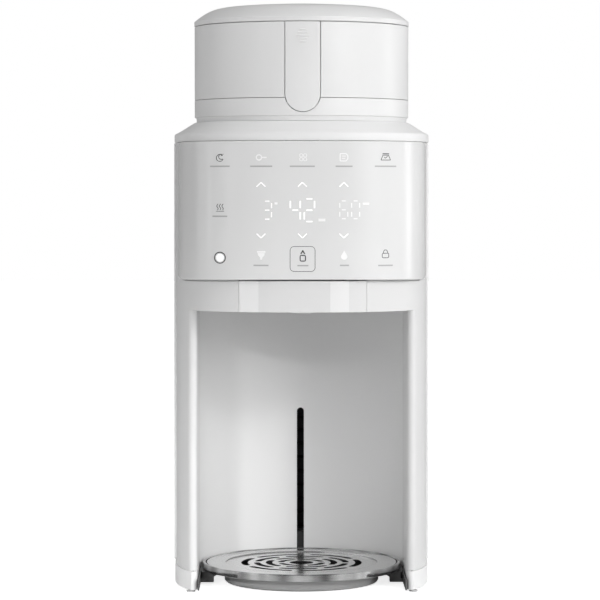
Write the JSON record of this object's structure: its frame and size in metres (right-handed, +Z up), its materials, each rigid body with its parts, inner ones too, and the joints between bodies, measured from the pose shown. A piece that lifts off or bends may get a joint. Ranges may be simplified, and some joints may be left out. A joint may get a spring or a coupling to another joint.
{
  "type": "baby formula maker",
  "caption": "Counter-top machine that meters milk powder and warm water into a bottle standing in a lit alcove, with a round powder hopper on top and a lift tray below.",
  "frame": {"origin": "on the table, at the middle of the body's width and depth", "axes": "+Z up, +X to the right seen from the front, the front faces -Y"},
  "size_m": [0.177, 0.252, 0.3984],
  "materials": {
    "white_shell": "satin white moulded plastic",
    "panel_gloss": "glossy white front panel",
    "clear_guide": "clear light guide behind the panel",
    "board": "printed board",
    "grey_plastic": "moulded plastic of the working parts",
    "dark_plastic": "dark moulded plastic",
    "steel_plate": "brushed steel drip plate",
    "steel_ring": "brushed steel tray ring",
    "steel_parts": "plain steel",
    "motor_case": "metal case",
    "rubber_parts": "soft rubber",
    "hose_rubber": "silicone hose",
    "tank_clear": "clear tank plastic"
  },
  "bodies": {
    "housing": {"front_frame": "white_shell", "rear_shell": "white_shell", "top_cover": "white_shell", "base_skirt": "white_shell", "base_plate": "dark_plastic", "foot_front_right": "rubber_parts", "foot_rear_right": "rubber_parts", "foot_front_left": "rubber_parts", "foot_rear_left": "rubber_parts", "base_screw_1": "steel_parts", "base_screw_2": "steel_parts", "base_screw_3": "steel_parts", "base_screw_4": "steel_parts", "alcove_liner": "white_shell", "spout_carrier": "white_shell", "control_panel": "panel_gloss", "light_guide": "clear_guide", "display_board": "board", "hopper_deck": "grey_plastic", "drive_motor": "motor_case", "powder_chute": "grey_plastic", "guide_rod_right": "steel_parts", "guide_rod_left": "steel_parts", "detent_strip": "grey_plastic", "dock_seat": "grey_plastic", "water_pump": "dark_plastic", "heater": "motor_case", "pump_inlet_hose": "hose_rubber", "pump_outlet_hose": "hose_rubber", "heater_hose": "hose_rubber", "water_nozzle": "grey_plastic", "power_board": "board", "power_inlet": "dark_plastic"},
    "pinion": {"motor_pinion": "grey_plastic"},
    "hopper": {"hopper_base": "white_shell", "powder_drum": "white_shell", "lid_hinge_pin": "steel_parts", "latch_pin": "steel_parts"},
    "lid": {"hopper_lid": "white_shell", "lid_seal": "rubber_parts"},
    "latch": {"latch_tab": "white_shell", "latch_spring": "steel_parts"},
    "metering": {"metering_wheel": "grey_plastic", "metering_shaft": "steel_parts", "drive_gear": "grey_plastic", "stirrer": "grey_plastic"},
    "tray": {"tray_ring": "steel_ring", "lift_slider": "grey_plastic", "detent_plunger": "grey_plastic"},
    "cup": {"drip_cup": "grey_plastic"},
    "grille": {"grille_plate": "steel_plate"},
    "drawer": {"funnel_drawer": "white_shell", "mixing_funnel": "grey_plastic"},
    "tank": {"water_tank": "tank_clear", "valve_cage": "grey_plastic", "valve_spring": "steel_parts"},
    "tank_cover": {"tank_lid": "white_shell"},
    "valve": {"tank_valve": "grey_plastic"}
  },
  "joints": [
    {"name": "hopper_lift", "type": "slide", "parent": "housing", "child": "hopper", "axis": [0, 0, 1], "range_m": [0, 0.09]},
    {"name": "lid_hinge", "type": "hinge", "parent": "hopper", "child": "lid", "pos_m": [0, 0.0406, 0.384], "axis": [-1, 0, 0], "range_deg": [0, 95]},
    {"name": "latch_press", "type": "hinge", "parent": "hopper", "child": "latch", "pos_m": [0, -0.1046, 0.329], "axis": [-1, 0, 0], "range_deg": [0, 2], "stiffness_Nm_per_rad": 2, "springref_deg": -2.86},
    {"name": "metering_spin", "type": "hinge", "parent": "hopper", "child": "metering", "pos_m": [0, -0.0365, 0.31], "axis": [0, 0, 1], "continuous": true},
    {"name": "pinion_spin", "type": "hinge", "parent": "housing", "child": "pinion", "pos_m": [0, -0.0149, 0.31], "axis": [0, 0, 1], "continuous": true},
    {"name": "tray_lift", "type": "slide", "parent": "housing", "child": "tray", "axis": [0, 0, 1], "range_m": [0, 0.0975]},
    {"name": "cup_lift", "type": "slide", "parent": "tray", "child": "cup", "axis": [0, 0, 1], "range_m": [0, 0.03]},
    {"name": "grille_lift", "type": "slide", "parent": "cup", "child": "grille", "axis": [0, 0, 1], "range_m": [0, 0.03]},
    {"name": "drawer_slide", "type": "slide", "parent": "housing", "child": "drawer", "axis": [0, -1, 0], "range_m": [0, 0.085]},
    {"name": "tank_lift", "type": "slide", "parent": "housing", "child": "tank", "axis": [0, 0, 1], "range_m": [0, 0.15]},
    {"name": "tank_lid_hinge", "type": "hinge", "parent": "tank", "child": "tank_cover", "pos_m": [0, 0.121, 0.2991], "axis": [-1, 0, 0], "range_deg": [0, 95]},
    {"name": "valve_press", "type": "slide", "parent": "tank", "child": "valve", "axis": [0, 0, 1], "range_m": [0, 0.003], "stiffness_N_per_m": 150, "springref_m": -0.004, "deforming": ["valve_spring"]}
  ],
  "couplings": [
    {"joint": "pinion_spin", "follows": "metering_spin", "ratio": -2}
  ]
}
